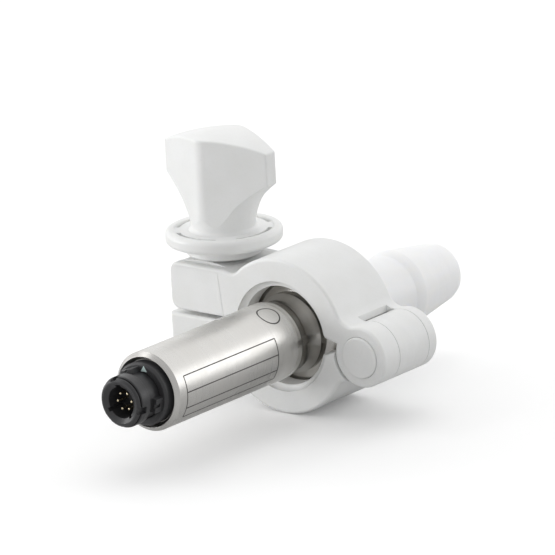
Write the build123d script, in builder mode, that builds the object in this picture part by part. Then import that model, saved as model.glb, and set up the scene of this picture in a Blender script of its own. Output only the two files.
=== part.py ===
from build123d import *
import math
import os

os.makedirs("parts", exist_ok=True)

# Pressure transmitter in a small hygienic clamp.  Millimetres, Z up.
# The origin lies on the flow axis, in the middle of the gasket between the two ferrules.
# The connector points to -Y, the hose end to +Y, the clamp hinge to +X, the wing knob to -X and up.

# Ferrule joint
ferrule_r = 12.5
ferrule_rim = 2.25
ferrule_slope = 0.36
neck_step = 2.6
ferrule_neck_r = ferrule_r - neck_step
gasket_t = 1.2
gasket_in_r = 7.6
gasket_inset = 0.2
gasket_out_r = ferrule_r - gasket_inset
bead_r = 0.7
bead_inset = 2.4
bead_seat_r = ferrule_r - bead_inset
seal_gap = 0.05
groove_gap = 0.3

# Transmitter housing
body_r = 8.25
body_wall = 1.0
body_front = 52.0
weld_y = 13.5
spigot_len = 3.0
fit = 0.03
seat_depth = 1.2
front_chamfer = 0.85
lip_land = 0.75
front_wall = 2.4
flare_mid_r = 8.85

# Sensor
diaphragm_r = 6.9
diaphragm_t = 0.15
diaphragm_setback = 0.35
pocket_wall = 2.4
header_r = 5.9
header_len = 5.0
header_cap_r = 5.0
header_cap_len = 1.0
oil_port_r = 0.8
die_side = 2.2
die_t = 0.6
header_pins_n = 4
header_pin_r = 0.23
header_pin_pcd = 3.4
header_pin_len = 5.4

# Electronics
sensor_board_r = 5.6
board_t = 1.0
board_gap = 2.4
main_board_w = 11.4
main_board_len = 21.0
carrier_r = 7.05
carrier_wall = 0.9
carrier_rail_w = 4.2
carrier_ring_len = 1.8
carrier_inset = 2.6
chip_h = 1.1
coil_h = 1.5
slot_gap = 0.08
wire_r = 0.3

# Connector
flange_r = 6.55
flange_face_r = 6.15
flange_t = 2.8
neck_r = 4.75
neck_len = 3.4
coupling_r = 5.3
coupling_len = 2.3
rim_r = 5.0
rim_front_r = 4.55
groove_w = 0.35
rim_len = 0.65
shank_r = 5.0
cavity_r = 3.25
cavity_mouth_r = 4.2
insert_depth = 4.9
insert_len = 4.6
pins_n = 6
pin_r = 0.26
pin_pcd = 3.6
pin_setback = 1.6
pin_tail = 2.6
pin_turn = 5.0
nut_r = 6.6
nut_len = 2.0
oring_r = 0.45
oring_mid_r = 5.8
lugs_n = 3
lug_h = 0.9

# Clamp
ring_r = 16.5
ring_half_w = 8.95
mouth_gap = 0.6
mouth_r = ferrule_neck_r + mouth_gap
mouth_round = 1.2
groove_r = ferrule_r + groove_gap
hinge_x = 20.5
hinge_z = -1.45
lobe_r = 6.4
lobe_gap = 0.35
front_seam_y = -3.75
back_seam_y = 6.0
seam_gap = 0.12
crotch_round = 3.5
upper_ear_x = -28.9
upper_ear_top = 11.7
upper_ear_bottom = 1.9
lower_ear_x = -29.3
lower_ear_top = 1.05
lower_ear_bottom = -8.6
edge_round = 0.7
ear_round = 2.1
foot_round = 2.6
valley_round = 2.2
upper_seam_mid = 1.5
upper_seam_hinge = 0.4
lower_seam_mid = -2.6
lower_seam_hinge = -1.0
panel_x = -16.3
panel_border = 0.75
panel_depth = 0.3

# Hinge pin
pin_shank_r = 2.5
pin_run = 0.05
pin_head_r = 4.2
pin_head_t = 1.3
pin_head_proud = 0.25
head_gap = 0.2
pin_tail_r = 3.4
pin_tail_t = 1.0

# Swing bolt and washer
knob_x = -21.0
pivot_z = -4.5
pivot_r = 1.8
bolt_r = 3.2
bolt_gap = 0.35
eye_r = 3.85
eye_side_gap = 0.2
bolt_rise = 15.8
track_rise = 1.0
track_half_w = 6.85
washer_w = 3.4
washer_r = bolt_r + washer_w
washer_t = 1.3
washer_lift = 0.05
washer_run = 0.05
washer_gap = 0.1

# Wing knob, with its heights above the washer's track
hub_wall = 1.3
hub_step = 0.5
hub_r = washer_r + washer_gap + hub_wall
hub_top_r = hub_r - hub_step
hub_bottom = 0.3
hub_chamfer = 0.3
web_bottom = 3.8
web_top = 4.9
rim_w = 2.05
rim_out_round = 1.0
rim_in_round = 0.5
rim_bottom = 2.7
rim_top = 5.7
slot_land = 0.5
slot_w = 1.7
slot_arc = 65.0
slot_turn = 86.6
skirt_r = 9.0
skirt_top = 6.7
waist_r = 6.75
waist_z = 6.3
flare_out_r = 14.6
flare_out_z = 17.1
wing_half = 13.55
wing_end_half = 1.55
ridge_half = 7.15
ridge_round = 3.2
ridge_crown = 0.28
knob_top = 25.8
knob_end_top = 23.2
bore_top = 21.3

# Hose adapter
bore_r = 4.75
adapter_shank_r = 7.9
funnel_y = 7.0
neck_run = 2.6
barb_foot_y = 27.0
barb_r = 8.5
barb_y = 29.5
barb_tip_r = 6.45
barb_taper_y = 43.4
adapter_end = 45.0
tip_round = 1.1

face_y = gasket_t / 2
rim_y = face_y + ferrule_rim
slope_y = rim_y + ferrule_slope * (ferrule_r - ferrule_neck_r)


# Transmitter
tube_in_r = body_r - body_wall
seat_y = -body_front + seat_depth
wall_back_y = seat_y + front_wall

with BuildPart() as housing_tube:
    with BuildSketch(Plane.XY):
        with BuildLine():
            Polyline(
                (tube_in_r, -weld_y),
                (body_r, -weld_y),
                (body_r, -body_front + front_chamfer),
                (body_r - front_chamfer, -body_front),
                (body_r - front_chamfer - 0.05, -body_front),
                (flange_r + fit + 0.05, seat_y),
                (shank_r + fit, seat_y),
                (shank_r + fit, wall_back_y),
                (tube_in_r, wall_back_y),
                close=True,
            )
        make_face()
    revolve(axis=Axis.Y)
housing_tube.part.label = "housing_tube"
export_step(housing_tube.part, "parts/housing_tube.step")

pocket_r = header_r + fit
pocket_front_y = -face_y - pocket_wall
diaphragm_back_y = -face_y - diaphragm_setback - diaphragm_t

with BuildPart() as process_ferrule:
    with BuildSketch(Plane.XY):
        with BuildLine():
            Polyline(
                (pocket_r, -weld_y - spigot_len),
                (tube_in_r - fit, -weld_y - spigot_len),
                (tube_in_r - fit, -weld_y),
                (body_r, -weld_y),
            )
            Spline(
                (body_r, -weld_y),
                (flare_mid_r, -8.6),
                (ferrule_neck_r, -slope_y - 0.9),
                tangents=[(0.02, 1), (0.75, 1)],
            )
            Polyline(
                (ferrule_neck_r, -slope_y - 0.9),
                (ferrule_neck_r + 0.35, -slope_y + 0.05),
                (ferrule_r, -rim_y),
                (ferrule_r, -face_y),
                (diaphragm_r, -face_y),
                (diaphragm_r, diaphragm_back_y),
                (oil_port_r, diaphragm_back_y),
                (oil_port_r, pocket_front_y),
                (pocket_r, pocket_front_y),
                (pocket_r, -weld_y - spigot_len),
            )
        make_face()
    revolve(axis=Axis.Y)
    with BuildSketch(Plane.XY):
        with Locations((bead_seat_r, -face_y)):
            Circle(bead_r + seal_gap)
    revolve(axis=Axis.Y, mode=Mode.SUBTRACT)
process_ferrule.part.label = "process_ferrule"
export_step(process_ferrule.part, "parts/process_ferrule.step")

with BuildPart() as diaphragm:
    with BuildSketch(Plane.XZ.offset(-diaphragm_back_y)):
        Circle(diaphragm_r - fit)
    extrude(amount=-diaphragm_t)
    with BuildSketch(Plane.XY):
        for ring in (2.2, 3.6, 5.0):
            with Locations((ring, diaphragm_back_y + diaphragm_t)):
                Circle(0.12)
    revolve(axis=Axis.Y)
    with BuildSketch(Plane.XZ.offset(-diaphragm_back_y)):
        Circle(diaphragm_r)
    extrude(amount=2, mode=Mode.SUBTRACT)
diaphragm.part.label = "diaphragm"
export_step(diaphragm.part, "parts/diaphragm.step")

header_front_y = pocket_front_y - fit
header_back_y = header_front_y - header_len
with BuildPart() as sensor_header:
    with BuildSketch(Plane.XZ.offset(-header_front_y)):
        Circle(header_r)
    extrude(amount=header_len)
    with BuildSketch(Plane.XZ.offset(-header_back_y)):
        Circle(header_cap_r)
    extrude(amount=header_cap_len)
    with BuildSketch(Plane.XZ.offset(-header_front_y)):
        Rectangle(die_side + 0.4, die_side + 0.4)
    extrude(amount=die_t + 0.2, mode=Mode.SUBTRACT)
    with BuildSketch(Plane.XZ.offset(-header_front_y)):
        with PolarLocations(header_pin_pcd, header_pins_n, start_angle=45):
            Circle(header_pin_r + fit)
    extrude(amount=header_len + header_cap_len, mode=Mode.SUBTRACT)
sensor_header.part.label = "sensor_header"
export_step(sensor_header.part, "parts/sensor_header.step")

with BuildPart() as sensing_die:
    with BuildSketch(Plane.XZ.offset(-header_front_y + 0.15)):
        Rectangle(die_side, die_side)
    extrude(amount=die_t, taper=8)
sensing_die.part.label = "sensing_die"
export_step(sensing_die.part, "parts/sensing_die.step")

cap_back_y = header_back_y - header_cap_len
with BuildPart() as header_pins:
    with BuildSketch(Plane.XZ.offset(-header_front_y)):
        with PolarLocations(header_pin_pcd, header_pins_n, start_angle=45):
            Circle(header_pin_r)
    extrude(amount=header_len + header_cap_len + header_pin_len)
header_pins.part.label = "header_pins"
export_step(header_pins.part, "parts/header_pins.step")

sensor_board_y = cap_back_y - board_gap
with BuildPart() as sensor_board:
    with BuildSketch(Plane.XZ.offset(-sensor_board_y)):
        Circle(sensor_board_r)
        with PolarLocations(header_pin_pcd, header_pins_n, start_angle=45):
            Circle(header_pin_r + fit, mode=Mode.SUBTRACT)
    extrude(amount=board_t)
sensor_board.part.label = "sensor_board"
export_step(sensor_board.part, "parts/sensor_board.step")

main_front_y = sensor_board_y - board_t - board_gap
main_back_y = main_front_y - main_board_len
with BuildPart() as main_board:
    with BuildSketch(Plane.YZ.offset(-board_t / 2)):
        with Locations(((main_front_y + main_back_y) / 2, 0)):
            RectangleRounded(main_board_len, main_board_w, 0.5)
        with Locations((main_front_y - 1.6, 3.6), (main_front_y - 1.6, -3.6)):
            Circle(0.5, mode=Mode.SUBTRACT)
    extrude(amount=board_t)
main_board.part.label = "main_board"
export_step(main_board.part, "parts/main_board.step")

# Each chip's place and size as shares of the board's length and width
chip_plan = [
    (0.22, 0.14, 0.24, 0.44),
    (0.53, -0.12, 0.19, 0.44),
    (0.79, 0.16, 0.15, 0.23),
    (0.78, -0.27, 0.1, 0.14),
]
with BuildPart() as board_chips:
    with BuildSketch(Plane.YZ.offset(board_t / 2)):
        for along, up, length, width in chip_plan:
            with Locations((main_front_y - along * main_board_len, up * main_board_w)):
                Rectangle(length * main_board_len, width * main_board_w)
    extrude(amount=chip_h)
    with BuildSketch(Plane.YZ.offset(-board_t / 2)):
        with Locations((main_front_y - main_board_len / 3, 0)):
            Rectangle(0.29 * main_board_len, 0.35 * main_board_w)
        with Locations((main_front_y - 0.7 * main_board_len, 0)):
            Circle(0.15 * main_board_w)
    extrude(amount=-coil_h)
board_chips.part.label = "board_chips"
export_step(board_chips.part, "parts/board_chips.step")

with BuildPart() as board_carrier:
    for ring_y in (main_front_y - carrier_inset, main_back_y + carrier_inset + carrier_ring_len):
        with BuildSketch(Plane.XZ.offset(-ring_y)):
            Circle(carrier_r)
            Circle(carrier_r - carrier_wall, mode=Mode.SUBTRACT)
        extrude(amount=carrier_ring_len)
    with BuildSketch(Plane.XZ.offset(-(main_front_y - carrier_inset))):
        Circle(carrier_r)
        Circle(carrier_r - carrier_wall, mode=Mode.SUBTRACT)
        Rectangle(carrier_rail_w, 2 * carrier_r, mode=Mode.INTERSECT)
    extrude(amount=main_board_len - 2 * carrier_inset)
    with BuildSketch(Plane.XZ.offset(-main_front_y)):
        Rectangle(board_t + 2 * slot_gap, main_board_w + 2 * slot_gap)
    extrude(amount=main_board_len, mode=Mode.SUBTRACT)
board_carrier.part.label = "board_carrier"
export_step(board_carrier.part, "parts/board_carrier.step")

# Connector at the front end
flange_front_y = seat_y - flange_t
neck_front_y = flange_front_y - neck_len
coupling_front_y = neck_front_y - coupling_len
rim_back_y = coupling_front_y - groove_w
nose_y = rim_back_y - rim_len
insert_front_y = nose_y + insert_depth
insert_back_y = insert_front_y + insert_len
shank_back_y = wall_back_y + nut_len + 0.8
groove_floor_r = coupling_r - 0.55

with BuildPart() as connector_shell:
    with BuildSketch(Plane.XY):
        with BuildLine():
            Polyline(
                (cavity_r, nose_y + 0.6),
                (cavity_mouth_r, nose_y),
                (rim_front_r, nose_y),
                (rim_r, nose_y + 0.45),
                (rim_r, rim_back_y),
                (groove_floor_r, rim_back_y),
                (groove_floor_r, coupling_front_y),
                (coupling_r - 0.15, coupling_front_y),
                (coupling_r, coupling_front_y + 0.15),
                (coupling_r, neck_front_y),
                (neck_r, neck_front_y),
                (neck_r, flange_front_y + 0.3),
                (neck_r + 0.3, flange_front_y),
                (flange_face_r, flange_front_y),
                (flange_r, flange_front_y + 0.4),
                (flange_r, seat_y),
                (shank_r, seat_y),
                (shank_r, shank_back_y),
                (cavity_r, shank_back_y),
                close=True,
            )
        make_face()
    revolve(axis=Axis.Y)
    # bayonet ramps cut into the coupling ring, with their open mouths at the front
    with BuildSketch(Plane.XZ.offset(-(coupling_front_y + 1.15))):
        with PolarLocations(coupling_r, lugs_n, start_angle=-12):
            Rectangle(1.5, 1.5)
    extrude(amount=1.15 + groove_w + rim_len + 0.3, mode=Mode.SUBTRACT)
    # three blocks behind the ramps stiffen the neck against the flange
    with BuildSketch(Plane.XZ.offset(-flange_front_y)):
        with PolarLocations(neck_r + lug_h / 2 - 0.2, lugs_n, start_angle=-12):
            Rectangle(lug_h + 0.4, 3.0)
    extrude(amount=neck_len * 0.62)
    with BuildSketch(Plane.XZ.offset(-(flange_front_y - 0.7))):
        with PolarLocations(neck_r + lug_h, lugs_n, start_angle=-12):
            Rectangle(0.7, 0.8)
    extrude(amount=neck_len * 0.62 - 0.7, mode=Mode.SUBTRACT)
    # ring groove in the back of the flange
    with BuildSketch(Plane.XY):
        with Locations((oring_mid_r, seat_y - oring_r)):
            Rectangle(2 * (oring_r + seal_gap), 2 * (oring_r + seal_gap))
    revolve(axis=Axis.Y, mode=Mode.SUBTRACT)
    # keyways in the mating cavity
    with BuildSketch(Plane.XZ.offset(-(insert_front_y))):
        with PolarLocations(cavity_r, 1, start_angle=97):
            Rectangle(0.9, 1.3)
        with PolarLocations(cavity_r, 1, start_angle=212):
            Rectangle(0.9, 0.8)
        with PolarLocations(cavity_r, 1, start_angle=-48):
            Rectangle(0.9, 0.8)
    extrude(amount=insert_depth, mode=Mode.SUBTRACT)
connector_shell.part.label = "connector_shell"
export_step(connector_shell.part, "parts/connector_shell.step")

with BuildPart() as connector_insert:
    with BuildSketch(Plane.XZ.offset(-insert_back_y)):
        Circle(cavity_r - fit)
        with PolarLocations(pin_pcd / 2, pins_n, start_angle=pin_turn):
            Circle(pin_r + fit, mode=Mode.SUBTRACT)
    extrude(amount=insert_len)
    with BuildSketch(Plane.XZ.offset(-(insert_front_y))):
        Circle(0.8)
    extrude(amount=1.0)
connector_insert.part.label = "connector_insert"
export_step(connector_insert.part, "parts/connector_insert.step")

pin_front_y = nose_y + pin_setback
pin_back_y = insert_back_y + pin_tail
with BuildPart() as contact_pins:
    with BuildSketch(Plane.XZ.offset(-pin_back_y)):
        with PolarLocations(pin_pcd / 2, pins_n, start_angle=pin_turn):
            Circle(pin_r)
    extrude(amount=pin_back_y - pin_front_y)
    tips = contact_pins.edges().filter_by(GeomType.CIRCLE).group_by(Axis.Y)[0]
    fillet(tips, 0.12)
contact_pins.part.label = "contact_pins"
export_step(contact_pins.part, "parts/contact_pins.step")

with BuildPart() as connector_oring:
    with BuildSketch(Plane.XY):
        with Locations((oring_mid_r, seat_y - oring_r)):
            Circle(oring_r)
    revolve(axis=Axis.Y)
connector_oring.part.label = "connector_oring"
export_step(connector_oring.part, "parts/connector_oring.step")

with BuildPart() as connector_nut:
    with BuildSketch(Plane.XZ.offset(-(wall_back_y + nut_len))):
        RegularPolygon(nut_r, 6)
        Circle(shank_r + fit, mode=Mode.SUBTRACT)
    extrude(amount=nut_len)
connector_nut.part.label = "connector_nut"
export_step(connector_nut.part, "parts/connector_nut.step")

# One lead per contact, from the pin's tail to a pad on either side of the main board
with BuildPart() as lead_wires:
    for k in range(pins_n):
        turn = math.radians(pin_turn + 360.0 / pins_n * k)
        pin_x = pin_pcd / 2 * math.cos(turn)
        pin_z = pin_pcd / 2 * math.sin(turn)
        side = 1 if pin_x > 0 else -1
        pad_x = side * (board_t / 2 + wire_r + 0.02)
        pad_z = pin_z * 2.1
        with BuildLine():
            Spline(
                (pin_x, pin_back_y + 0.05, pin_z),
                ((pin_x + pad_x) / 2, (pin_back_y + main_back_y) / 2, pad_z * 0.8),
                (pad_x, main_back_y + 1.6, pad_z),
                tangents=[(0, 1, 0), (0, 1, 0)],
            )
        with BuildSketch(Plane(origin=(pin_x, pin_back_y + 0.05, pin_z), z_dir=(0, 1, 0))):
            Circle(wire_r)
        sweep()
lead_wires.part.label = "lead_wires"
export_step(lead_wires.part, "parts/lead_wires.step")


# Gasket and hose adapter
with BuildPart() as gasket:
    with BuildSketch(Plane.XY):
        with Locations(((gasket_in_r + gasket_out_r) / 2, 0)):
            Rectangle(gasket_out_r - gasket_in_r, gasket_t - 2 * 0.01)
        with Locations((bead_seat_r, face_y), (bead_seat_r, -face_y)):
            Circle(bead_r)
    revolve(axis=Axis.Y)
gasket.part.label = "gasket"
export_step(gasket.part, "parts/gasket.step")

with BuildPart() as hose_adapter:
    with BuildSketch(Plane.XY):
        with BuildLine():
            Polyline(
                (bore_r, funnel_y),
                (gasket_in_r, face_y + 0.8),
                (gasket_in_r, face_y),
                (ferrule_r, face_y),
                (ferrule_r, rim_y),
                (ferrule_neck_r, slope_y),
                (ferrule_neck_r - 0.3, slope_y + 0.8),
                (adapter_shank_r, slope_y + neck_run),
                (adapter_shank_r, barb_foot_y),
            )
            Spline(
                (adapter_shank_r, barb_foot_y),
                (barb_r - 0.12, barb_y - 0.7),
                (barb_r, barb_y),
            )
            Polyline(
                (barb_r, barb_y),
                (barb_tip_r, barb_taper_y),
            )
            Polyline(
                (barb_tip_r, barb_taper_y),
                (barb_tip_r - tip_round * 0.35, adapter_end - tip_round * 0.45),
                (barb_tip_r - tip_round, adapter_end),
                (bore_r + 0.3, adapter_end),
                (bore_r, adapter_end - 0.3),
                (bore_r, funnel_y),
            )
        make_face()
    revolve(axis=Axis.Y)
    with BuildSketch(Plane.XY):
        with Locations((bead_seat_r, face_y)):
            Circle(bead_r + seal_gap)
    revolve(axis=Axis.Y, mode=Mode.SUBTRACT)
hose_adapter.part.label = "hose_adapter"
export_step(hose_adapter.part, "parts/hose_adapter.step")


# Clamp halves.  Both outlines are drawn in the XZ plane and extruded over the full width.
hinge_at = (hinge_x, hinge_z)
seam_x = ring_r - 1.5
track_top = upper_ear_top + track_rise
track_r = track_top - pivot_z
track_reach = math.sqrt(track_r**2 - (upper_ear_top - pivot_z) ** 2)
clear_r = lobe_r + lobe_gap
bolt_slot = 2 * (bolt_r + bolt_gap)


with BuildPart() as clamp_upper:
    with BuildSketch(Plane.XZ.offset(-ring_half_w)) as upper_outline:
        Circle(ring_r)
        with Locations(hinge_at):
            Circle(lobe_r)
        crotches = upper_outline.vertices().filter_by(lambda v: v.X > ring_r / 2)
        fillet(crotches.sort_by(Axis.Y)[-1], crotch_round)
        with Locations((upper_ear_x / 2 - 4, (upper_ear_top + upper_ear_bottom) / 2)):
            Rectangle(-upper_ear_x - 8, upper_ear_top - upper_ear_bottom)
        valleys = upper_outline.vertices().filter_by(lambda v: -ring_r < v.X < 0 and abs(v.Y - upper_ear_top) < 0.1)
        fillet(valleys, valley_round)
        with BuildLine():
            Polyline(
                (-40, upper_ear_bottom),
                (0, upper_ear_bottom),
                (mouth_r, upper_seam_mid),
                (seam_x, upper_seam_hinge),
                (40, upper_seam_hinge),
                (40, -20),
                (-40, -20),
                close=True,
            )
        make_face(mode=Mode.SUBTRACT)
        with Locations(hinge_at):
            Circle(lobe_r)
    extrude(amount=2 * ring_half_w)
    ear_tops = clamp_upper.edges().filter_by(Axis.Y).filter_by(lambda e: e.center().X < upper_ear_x + 0.5)
    fillet(ear_tops, ear_round)
    # rounded rims on both faces of the ring
    rims = clamp_upper.edges().filter_by(lambda e: abs(abs(e.center().Y) - ring_half_w) < 0.01)
    fillet(rims, edge_round)
    # ferrule groove and rounded mouths
    with BuildSketch(Plane.XY):
        with BuildLine():
            l1 = Line((0, -ring_half_w - 1), (mouth_r + mouth_round, -ring_half_w - 1))
            l2 = Line(l1 @ 1, (mouth_r + mouth_round, -ring_half_w))
            a1 = RadiusArc(l2 @ 1, (mouth_r, -ring_half_w + mouth_round), -mouth_round)
            l3 = Polyline(
                a1 @ 1,
                (mouth_r, -slope_y - groove_gap),
                (groove_r, -rim_y - groove_gap),
                (groove_r, rim_y + groove_gap),
                (mouth_r, slope_y + groove_gap),
                (mouth_r, ring_half_w - mouth_round),
            )
            a2 = RadiusArc(l3 @ 1, (mouth_r + mouth_round, ring_half_w), -mouth_round)
            Polyline(
                a2 @ 1,
                (mouth_r + mouth_round, ring_half_w + 1),
                (0, ring_half_w + 1),
                (0, -ring_half_w - 1),
            )
        make_face()
    revolve(axis=Axis.Y, mode=Mode.SUBTRACT)
    # window for the other half's middle lobe
    with BuildSketch(Plane.XZ.offset(-(back_seam_y + seam_gap / 2))):
        with Locations(hinge_at):
            Circle(clear_r)
    extrude(amount=back_seam_y - front_seam_y + seam_gap, mode=Mode.SUBTRACT)
    # convex track about the bolt's pivot, on which the washer rocks out
    with BuildSketch(Plane.XZ.offset(-track_half_w)):
        with Locations((knob_x, pivot_z)):
            Circle(track_r)
        with Locations((knob_x, upper_ear_top + 1)):
            Rectangle(2 * track_reach, 4, mode=Mode.INTERSECT)
    extrude(amount=2 * track_half_w)
    with BuildSketch(Plane.XZ.offset(-track_half_w)):
        with Locations((knob_x - track_reach / 2 - 6, upper_ear_top)):
            Rectangle(track_reach + 12 - 2 * 1.8, 6)
        with Locations((knob_x, pivot_z)):
            Circle(track_r, mode=Mode.SUBTRACT)
    extrude(amount=2 * track_half_w, mode=Mode.SUBTRACT)
    # slot that the swing bolt leaves through
    with BuildSketch(Plane.XY):
        with Locations((knob_x, 0)):
            Circle(bolt_slot / 2)
        with Locations((knob_x - 10, 0)):
            Rectangle(20, bolt_slot)
    extrude(amount=track_top + 3, mode=Mode.SUBTRACT)
    # shallow panel in the ear's front, deepest at its top edge
    with BuildSketch(Plane.YZ.offset(panel_x)):
        with BuildLine():
            Polyline(
                (-ring_half_w - 1, upper_ear_bottom - 1),
                (-ring_half_w + 0.02, upper_ear_bottom - 1),
                (-ring_half_w + panel_depth, upper_ear_top - panel_border),
                (-ring_half_w - 1, upper_ear_top - panel_border),
                close=True,
            )
        make_face()
    extrude(amount=-20, mode=Mode.SUBTRACT)
    # hinge pin bore, recess for its head and for its riveted tail
    with BuildSketch(Plane.XZ.offset(-ring_half_w - 1)):
        with Locations(hinge_at):
            Circle(pin_shank_r + fit)
    extrude(amount=2 * ring_half_w + 2, mode=Mode.SUBTRACT)
    with BuildSketch(Plane.XZ.offset(ring_half_w + 1)):
        with Locations(hinge_at):
            Circle(pin_head_r + head_gap)
    extrude(amount=-(pin_head_t - pin_head_proud + 1), mode=Mode.SUBTRACT)
    with BuildSketch(Plane.XZ.offset(-ring_half_w - 1)):
        with Locations(hinge_at):
            Circle(pin_tail_r + head_gap)
    extrude(amount=pin_tail_t + 1, mode=Mode.SUBTRACT)
clamp_upper.part.label = "clamp_upper"
export_step(clamp_upper.part, "parts/clamp_upper.step")

with BuildPart() as clamp_lower:
    with BuildSketch(Plane.XZ.offset(-ring_half_w)) as lower_outline:
        Circle(ring_r)
        with Locations(hinge_at):
            Circle(lobe_r)
        crotches = lower_outline.vertices().filter_by(lambda v: v.X > ring_r / 2)
        fillet(crotches.sort_by(Axis.Y)[0], crotch_round)
        with Locations((lower_ear_x / 2 - 4, (lower_ear_top + lower_ear_bottom) / 2)):
            Rectangle(-lower_ear_x - 8, lower_ear_top - lower_ear_bottom)
        armpits = lower_outline.vertices().filter_by(lambda v: -ring_r < v.X < 0 and abs(v.Y - lower_ear_bottom) < 0.1)
        fillet(armpits, valley_round)
        with BuildLine():
            Polyline(
                (-40, lower_ear_top),
                (-seam_x, lower_ear_top),
                (0, lower_seam_mid),
                (mouth_r, lower_seam_mid),
                (seam_x, lower_seam_hinge),
                (40, lower_seam_hinge),
                (40, 20),
                (-40, 20),
                close=True,
            )
        make_face(mode=Mode.SUBTRACT)
        with Locations(hinge_at):
            Circle(lobe_r)
    extrude(amount=2 * ring_half_w)
    ear_feet = clamp_lower.edges().filter_by(Axis.Y).filter_by(lambda e: e.center().X < lower_ear_x + 0.5)
    fillet(ear_feet.filter_by(lambda e: e.center().Z < lower_ear_bottom + 0.5), foot_round)
    rims = clamp_lower.edges().filter_by(lambda e: abs(abs(e.center().Y) - ring_half_w) < 0.01)
    fillet(rims, edge_round)
    with BuildSketch(Plane.XY):
        with BuildLine():
            l1 = Line((0, -ring_half_w - 1), (mouth_r + mouth_round, -ring_half_w - 1))
            l2 = Line(l1 @ 1, (mouth_r + mouth_round, -ring_half_w))
            a1 = RadiusArc(l2 @ 1, (mouth_r, -ring_half_w + mouth_round), -mouth_round)
            l3 = Polyline(
                a1 @ 1,
                (mouth_r, -slope_y - groove_gap),
                (groove_r, -rim_y - groove_gap),
                (groove_r, rim_y + groove_gap),
                (mouth_r, slope_y + groove_gap),
                (mouth_r, ring_half_w - mouth_round),
            )
            a2 = RadiusArc(l3 @ 1, (mouth_r + mouth_round, ring_half_w), -mouth_round)
            Polyline(
                a2 @ 1,
                (mouth_r + mouth_round, ring_half_w + 1),
                (0, ring_half_w + 1),
                (0, -ring_half_w - 1),
            )
        make_face()
    revolve(axis=Axis.Y, mode=Mode.SUBTRACT)
    # clearance for the other half's front and back lobes
    with BuildSketch(Plane.XZ.offset(-(front_seam_y + seam_gap / 2))):
        with Locations(hinge_at):
            Circle(clear_r)
    extrude(amount=ring_half_w + front_seam_y + seam_gap, mode=Mode.SUBTRACT)
    with BuildSketch(Plane.XZ.offset(-(ring_half_w + 0.5))):
        with Locations(hinge_at):
            Circle(clear_r)
    extrude(amount=ring_half_w + 0.5 - back_seam_y + seam_gap / 2, mode=Mode.SUBTRACT)
    with BuildSketch(Plane.XZ.offset(-ring_half_w)):
        with Locations(hinge_at):
            Circle(pin_shank_r + pin_run)
    extrude(amount=2 * ring_half_w, mode=Mode.SUBTRACT)
    # fork for the swing bolt's eye, open to the left and to the top
    with BuildSketch(Plane.XY.offset(lower_ear_bottom - 1)):
        with Locations((knob_x + eye_r + bolt_gap - 10, 0)):
            Rectangle(20, 2 * (bolt_r + bolt_gap))
    extrude(amount=lower_ear_top - lower_ear_bottom + 3, mode=Mode.SUBTRACT)
    with BuildSketch(Plane.XZ.offset(-ring_half_w - 1)):
        with Locations((knob_x, pivot_z)):
            Circle(pivot_r + fit)
    extrude(amount=2 * ring_half_w + 2, mode=Mode.SUBTRACT)
clamp_lower.part.label = "clamp_lower"
export_step(clamp_lower.part, "parts/clamp_lower.step")

with BuildPart() as hinge_pin:
    with BuildSketch(Plane.XZ.offset(-(ring_half_w - 0.1))):
        with Locations(hinge_at):
            Circle(pin_shank_r)
    extrude(amount=2 * ring_half_w - 0.2)
    with BuildSketch(Plane.XZ.offset(ring_half_w - pin_head_t + pin_head_proud)):
        with Locations(hinge_at):
            Circle(pin_head_r)
    extrude(amount=pin_head_t)
    fillet(hinge_pin.edges().filter_by(GeomType.CIRCLE).sort_by(Axis.Y)[0], 0.3)
    with BuildSketch(Plane.XZ.offset(-(ring_half_w - 0.1))):
        with Locations(hinge_at):
            Circle(pin_tail_r)
    extrude(amount=pin_tail_t - 0.1)
    chamfer(hinge_pin.edges().filter_by(GeomType.CIRCLE).sort_by(Axis.Y)[-1], 0.35)
hinge_pin.part.label = "hinge_pin"
export_step(hinge_pin.part, "parts/hinge_pin.step")

with BuildPart() as bolt_pin:
    with BuildSketch(Plane.XZ.offset(-(ring_half_w - 0.3))):
        with Locations((knob_x, pivot_z)):
            Circle(pivot_r)
    extrude(amount=2 * ring_half_w - 0.6)
    chamfer(bolt_pin.edges().filter_by(GeomType.CIRCLE), 0.3)
bolt_pin.part.label = "bolt_pin"
export_step(bolt_pin.part, "parts/bolt_pin.step")

# Swing bolt, washer and knob
eye_half_w = bolt_r + bolt_gap - eye_side_gap
with BuildPart() as swing_bolt:
    with BuildSketch(Plane.XY.offset(pivot_z)):
        with Locations((knob_x, 0)):
            Circle(bolt_r)
    extrude(amount=track_top + bolt_rise - pivot_z)
    chamfer(swing_bolt.faces().sort_by(Axis.Z)[-1].edges(), 0.8)
    with BuildSketch(Plane.XZ.offset(-eye_half_w)):
        with Locations((knob_x, pivot_z)):
            Circle(eye_r)
    extrude(amount=2 * eye_half_w)
    with BuildSketch(Plane.XZ.offset(-eye_half_w - 1)):
        with Locations((knob_x, pivot_z)):
            Circle(pivot_r + pin_run)
    extrude(amount=2 * eye_half_w + 2, mode=Mode.SUBTRACT)
swing_bolt.part.label = "swing_bolt"
export_step(swing_bolt.part, "parts/swing_bolt.step")

washer_bottom = track_top + washer_lift
washer_top = washer_bottom + washer_t
with BuildPart() as seat_washer:
    with BuildSketch(Plane.XY.offset(washer_bottom)):
        with Locations((knob_x, 0)):
            Circle(washer_r)
            Circle(bolt_r + washer_run, mode=Mode.SUBTRACT)
    extrude(amount=washer_t)
    chamfer(seat_washer.edges().filter_by(GeomType.CIRCLE).group_by(Axis.Z)[0], 0.2)
seat_washer.part.label = "seat_washer"
export_step(seat_washer.part, "parts/seat_washer.step")

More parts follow.
